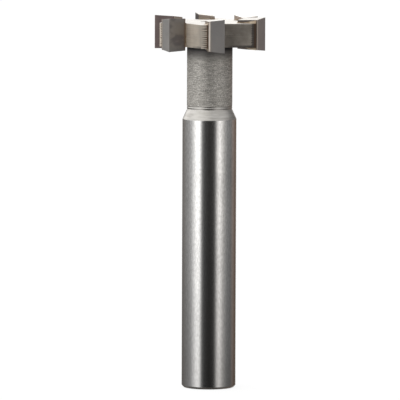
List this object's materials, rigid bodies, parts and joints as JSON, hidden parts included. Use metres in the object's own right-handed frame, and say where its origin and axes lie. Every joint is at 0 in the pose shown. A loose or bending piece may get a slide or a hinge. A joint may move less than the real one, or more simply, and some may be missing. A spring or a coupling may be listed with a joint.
{
  "type": "t slot cutter",
  "caption": "T-slot milling cutter with a plain parallel shank, a necked-down stem and a disc head with brazed carbide tips that cut on the rim and both sides",
  "frame": {"origin": "centre of the shank's flat end face, on the tool's axis", "axes": "+Z along the axis from the shank's end to the cutting head, +X through the cutting edge of the first tip, +Y completing a right-handed set"},
  "size_m": [0.0254, 0.0236, 0.0826],
  "materials": {
    "tool_steel": "ground shank, turned neck, milled head",
    "carbide": "dark ground tungsten carbide",
    "braze": "as-flowed silver braze"
  },
  "bodies": {
    "root": {"cutter_body": "tool_steel", "carbide_tip_1": "carbide", "carbide_tip_2": "carbide", "carbide_tip_3": "carbide", "carbide_tip_4": "carbide", "carbide_tip_5": "carbide", "carbide_tip_6": "carbide", "braze_seam_1": "braze", "braze_seam_2": "braze", "braze_seam_3": "braze", "braze_seam_4": "braze", "braze_seam_5": "braze", "braze_seam_6": "braze"}
  },
  "joints": []
}
